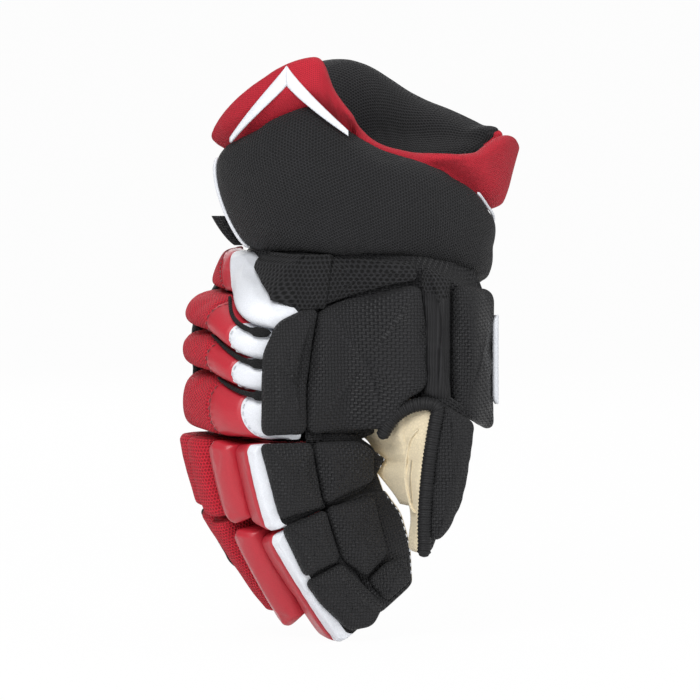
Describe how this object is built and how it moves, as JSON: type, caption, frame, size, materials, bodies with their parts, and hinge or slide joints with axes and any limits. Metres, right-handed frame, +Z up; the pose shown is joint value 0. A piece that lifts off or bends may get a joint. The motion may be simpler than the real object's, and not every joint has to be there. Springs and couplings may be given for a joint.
{
  "type": "hockey glove",
  "caption": "Padded right-hand hockey glove with a flared cuff, segmented finger rolls that curl, a bending thumb and a suede palm.",
  "frame": {"origin": "middle of the cuff mouth, where the wrist goes in", "axes": "+Z up along the forearm out of the cuff, +X from the back of the hand to the palm, +Y from the thumb side to the little finger"},
  "size_m": [0.1995, 0.1583, 0.3379],
  "materials": {
    "red_pu": "soft sheen",
    "red_mesh": "honeycomb mesh",
    "white_pu": "satin",
    "woven_black": "fine woven nylon",
    "mesh_black": "coarse mesh",
    "binding_black": "ribbed binding",
    "suede": "suede",
    "insert_plastic": "matt"
  },
  "bodies": {
    "hand": {"back_liner": "suede", "backhand_plate": "insert_plastic", "back_roll_1": "red_pu", "back_roll_2": "red_pu", "back_roll_3": "red_pu", "back_roll_4": "red_pu", "roll_welts": "binding_black", "wrist_back_panel": "mesh_black", "wrist_side_panel": "mesh_black", "thumb_side_wall": "woven_black", "little_side_wall": "woven_black", "palm_panel": "suede", "palm_patch": "suede", "thenar_panel": "suede", "thumb_gusset": "woven_black", "narrow_side_pad": "woven_black", "web_pad": "woven_black", "thumb_column_pad": "woven_black", "thumb_base_pad": "woven_black", "thumb_stripe": "white_pu", "web_binding": "binding_black", "little_side_pad": "woven_black", "wrist_sleeve": "woven_black"},
    "cuff": {"cuff_roll": "mesh_black", "cuff_back_flap": "red_mesh", "cuff_thumb_flap": "red_mesh", "cuff_little_flap": "red_mesh", "cuff_lining": "mesh_black", "cuff_insert": "insert_plastic", "cuff_chevron": "white_pu", "cuff_piping": "white_pu", "label_tab": "woven_black"},
    "thumb": {"thumb_stall": "woven_black", "thumb_side_pad": "woven_black", "thumb_binding": "binding_black", "thumb_insert": "insert_plastic"},
    "index_first": {"index_first_stall": "woven_black", "index_first_roll": "red_pu", "index_first_strip": "white_pu", "index_knuckle_pads": "woven_black"},
    "index_second": {"index_second_stall": "woven_black", "index_second_roll": "red_pu", "index_second_strip": "white_pu", "index_tip_pads": "woven_black"},
    "middle_first": {"middle_first_stall": "woven_black", "middle_first_roll": "red_pu"},
    "middle_second": {"middle_second_stall": "woven_black", "middle_second_roll": "red_pu"},
    "ring_first": {"ring_first_stall": "woven_black", "ring_first_roll": "red_mesh"},
    "ring_second": {"ring_second_stall": "woven_black", "ring_second_roll": "red_mesh"},
    "little_first": {"little_first_stall": "woven_black", "little_first_roll": "red_mesh", "little_first_side_pad": "woven_black"},
    "little_second": {"little_second_stall": "woven_black", "little_second_roll": "red_mesh", "little_second_side_pad": "woven_black"}
  },
  "joints": [
    {"name": "cuff_tilt", "type": "hinge", "parent": "hand", "child": "cuff", "pos_m": [0.002, 0, -0.075], "axis": [0, 1, 0], "range_deg": [-3, 3], "stiffness_Nm_per_rad": 8},
    {"name": "index_knuckle", "type": "hinge", "parent": "hand", "child": "index_first", "pos_m": [-0.026, -0.039, -0.185], "axis": [0, -1, 0], "range_deg": [-2, 40], "stiffness_Nm_per_rad": 2},
    {"name": "index_middle_joint", "type": "hinge", "parent": "index_first", "child": "index_second", "pos_m": [-0.0221, -0.039, -0.21273], "axis": [0, -1, 0], "range_deg": [-2, 45], "stiffness_Nm_per_rad": 1.2},
    {"name": "middle_knuckle", "type": "hinge", "parent": "hand", "child": "middle_first", "pos_m": [-0.034, -0.013, -0.185], "axis": [0, -1, 0], "range_deg": [-2, 40], "stiffness_Nm_per_rad": 2},
    {"name": "middle_middle_joint", "type": "hinge", "parent": "middle_first", "child": "middle_second", "pos_m": [-0.03026, -0.013, -0.21162], "axis": [0, -1, 0], "range_deg": [-2, 45], "stiffness_Nm_per_rad": 1.2},
    {"name": "ring_knuckle", "type": "hinge", "parent": "hand", "child": "ring_first", "pos_m": [-0.035, 0.013, -0.185], "axis": [0, -1, 0], "range_deg": [-2, 40], "stiffness_Nm_per_rad": 2},
    {"name": "ring_middle_joint", "type": "hinge", "parent": "ring_first", "child": "ring_second", "pos_m": [-0.03149, 0.013, -0.20995], "axis": [0, -1, 0], "range_deg": [-2, 45], "stiffness_Nm_per_rad": 1.2},
    {"name": "little_knuckle", "type": "hinge", "parent": "hand", "child": "little_first", "pos_m": [-0.028, 0.039, -0.185], "axis": [0, -1, 0], "range_deg": [-2, 40], "stiffness_Nm_per_rad": 2},
    {"name": "little_middle_joint", "type": "hinge", "parent": "little_first", "child": "little_second", "pos_m": [-0.02504, 0.039, -0.20607], "axis": [0, -1, 0], "range_deg": [-2, 45], "stiffness_Nm_per_rad": 1.2},
    {"name": "thumb_bend", "type": "hinge", "parent": "hand", "child": "thumb", "pos_m": [0.012, -0.074, -0.159], "axis": [0, 1, 0], "range_deg": [-8, 12], "stiffness_Nm_per_rad": 2}
  ]
}
